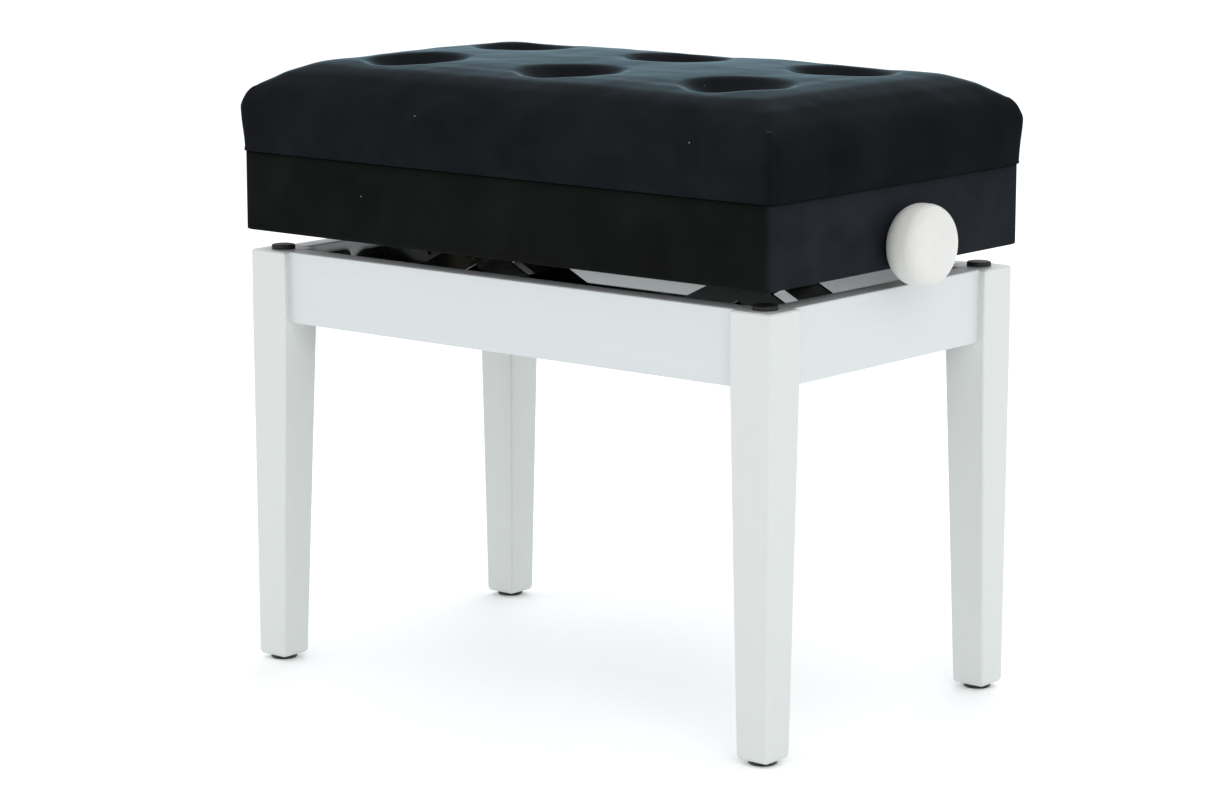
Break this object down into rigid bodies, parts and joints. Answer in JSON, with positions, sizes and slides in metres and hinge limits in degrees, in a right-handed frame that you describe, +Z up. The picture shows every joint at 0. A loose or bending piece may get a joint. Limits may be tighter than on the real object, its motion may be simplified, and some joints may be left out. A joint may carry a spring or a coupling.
{
  "type": "piano bench",
  "caption": "Height-adjustable piano bench: tapered white legs, black velvet seat box and button-tufted cushion on a scissor lift turned by a side knob.",
  "frame": {"origin": "on the floor, under the middle of the leg frame", "axes": "+X along the bench towards the knob, +Y from the front to the rear, +Z up"},
  "size_m": [0.5887, 0.3418, 0.508],
  "materials": {
    "white_lacquered_wood": "satin white lacquer",
    "white_knob": "satin, slightly warm white",
    "black_enamelled_steel": "glossy stoved black",
    "zinc_plated_steel": "pale zinc plating",
    "black_rubber": "matt",
    "black_nylon": "matt, moulded",
    "black_velvet": "short-pile velvet, black with a cool sheen",
    "seat_foam": "open-cell foam",
    "plywood": "bare birch plywood"
  },
  "bodies": {
    "frame": {"leg_front_left": "white_lacquered_wood", "leg_front_right": "white_lacquered_wood", "leg_rear_left": "white_lacquered_wood", "leg_rear_right": "white_lacquered_wood", "rail_front": "white_lacquered_wood", "rail_rear": "white_lacquered_wood", "rail_left": "white_lacquered_wood", "rail_right": "white_lacquered_wood", "corner_bracket_front_left": "black_enamelled_steel", "corner_bracket_front_right": "black_enamelled_steel", "corner_bracket_rear_left": "black_enamelled_steel", "corner_bracket_rear_right": "black_enamelled_steel", "bumper_front_left": "black_rubber", "bumper_front_right": "black_rubber", "bumper_rear_left": "black_rubber", "bumper_rear_right": "black_rubber", "glide_front_left": "black_nylon", "glide_front_right": "black_nylon", "glide_rear_left": "black_nylon", "glide_rear_right": "black_nylon", "leg_bolts": "zinc_plated_steel", "leg_nuts_and_washers": "zinc_plated_steel", "glide_nails": "zinc_plated_steel", "frame_screws": "zinc_plated_steel", "base_rail_front": "black_enamelled_steel", "base_rail_rear": "black_enamelled_steel", "end_plate_left": "black_enamelled_steel", "end_plate_right": "black_enamelled_steel", "lower_pivots": "zinc_plated_steel"},
    "outer_arm_left": {"outer_arm_left": "black_enamelled_steel", "crossing_rod_left": "zinc_plated_steel"},
    "inner_arm_left": {"inner_arm_left": "black_enamelled_steel", "slide_rod_left": "zinc_plated_steel"},
    "shoes_left": {"slide_shoes_left": "black_nylon"},
    "nut_left": {"screw_nut_left": "zinc_plated_steel"},
    "outer_arm_right": {"outer_arm_right": "black_enamelled_steel", "crossing_rod_right": "zinc_plated_steel"},
    "inner_arm_right": {"inner_arm_right": "black_enamelled_steel", "slide_rod_right": "zinc_plated_steel"},
    "shoes_right": {"slide_shoes_right": "black_nylon"},
    "nut_right": {"screw_nut_right": "zinc_plated_steel"},
    "seat": {"skirt_board_front": "plywood", "skirt_board_rear": "plywood", "skirt_board_left": "plywood", "skirt_board_right": "plywood", "skirt_cover": "black_velvet", "seat_panel": "plywood", "upper_rail_front": "black_enamelled_steel", "upper_rail_rear": "black_enamelled_steel", "screw_bearing_left": "black_enamelled_steel", "screw_bearing_right": "black_enamelled_steel", "upper_pivots": "zinc_plated_steel", "seat_screws": "zinc_plated_steel", "cushion_board": "plywood", "cushion_foam": "seat_foam", "cushion_cover": "black_velvet", "tuft_buttons": "black_velvet"},
    "drive": {"lead_screw": "zinc_plated_steel", "screw_collars": "zinc_plated_steel", "knob": "white_knob"}
  },
  "joints": [
    {"name": "outer_arm_left_base", "type": "hinge", "parent": "frame", "child": "outer_arm_left", "pos_m": [-0.222, 0, 0.301], "axis": [0, -1, 0], "range_deg": [-4.22, 34.69]},
    {"name": "knob_turn", "type": "hinge", "parent": "seat", "child": "drive", "pos_m": [0, 0, 0.3842], "axis": [-1, 0, 0], "range_deg": [-540, 4440]},
    {"name": "crossing_left", "type": "hinge", "parent": "outer_arm_left", "child": "inner_arm_left", "pos_m": [-0.13882, 0, 0.3426], "axis": [0, -1, 0], "range_deg": [-69.47, 8.54]},
    {"name": "slide_left", "type": "hinge", "parent": "inner_arm_left", "child": "shoes_left", "pos_m": [-0.05565, 0, 0.301], "axis": [0, -1, 0], "range_deg": [-4.32, 34.79]},
    {"name": "nut_left_level", "type": "hinge", "parent": "outer_arm_left", "child": "nut_left", "pos_m": [-0.05565, 0, 0.3842], "axis": [0, -1, 0], "range_deg": [-34.79, 4.32]},
    {"name": "outer_arm_right_base", "type": "hinge", "parent": "frame", "child": "outer_arm_right", "pos_m": [0.222, 0, 0.301], "axis": [0, 1, 0], "range_deg": [-4.32, 34.79]},
    {"name": "crossing_right", "type": "hinge", "parent": "outer_arm_right", "child": "inner_arm_right", "pos_m": [0.13882, 0, 0.3426], "axis": [0, 1, 0], "range_deg": [-69.47, 8.54]},
    {"name": "slide_right", "type": "hinge", "parent": "inner_arm_right", "child": "shoes_right", "pos_m": [0.05565, 0, 0.301], "axis": [0, 1, 0], "range_deg": [-4.32, 34.79]},
    {"name": "nut_right_level", "type": "hinge", "parent": "outer_arm_right", "child": "nut_right", "pos_m": [0.05565, 0, 0.3842], "axis": [0, 1, 0], "range_deg": [-34.79, 4.32]},
    {"name": "seat_level", "type": "hinge", "parent": "inner_arm_left", "child": "seat", "pos_m": [-0.222, 0, 0.3842], "axis": [0, -1, 0], "range_deg": [-4.32, 34.79]}
  ],
  "couplings": [
    {"joint": "knob_turn", "follows": "outer_arm_left_base", "ratio": 128},
    {"joint": "crossing_left", "follows": "outer_arm_left_base", "ratio": -2},
    {"joint": "slide_left", "follows": "outer_arm_left_base", "ratio": 1},
    {"joint": "nut_left_level", "follows": "outer_arm_left_base", "ratio": -1},
    {"joint": "outer_arm_right_base", "follows": "outer_arm_left_base", "ratio": 1},
    {"joint": "crossing_right", "follows": "outer_arm_left_base", "ratio": -2},
    {"joint": "slide_right", "follows": "outer_arm_left_base", "ratio": 1},
    {"joint": "nut_right_level", "follows": "outer_arm_left_base", "ratio": -1},
    {"joint": "seat_level", "follows": "outer_arm_left_base", "ratio": 1}
  ]
}
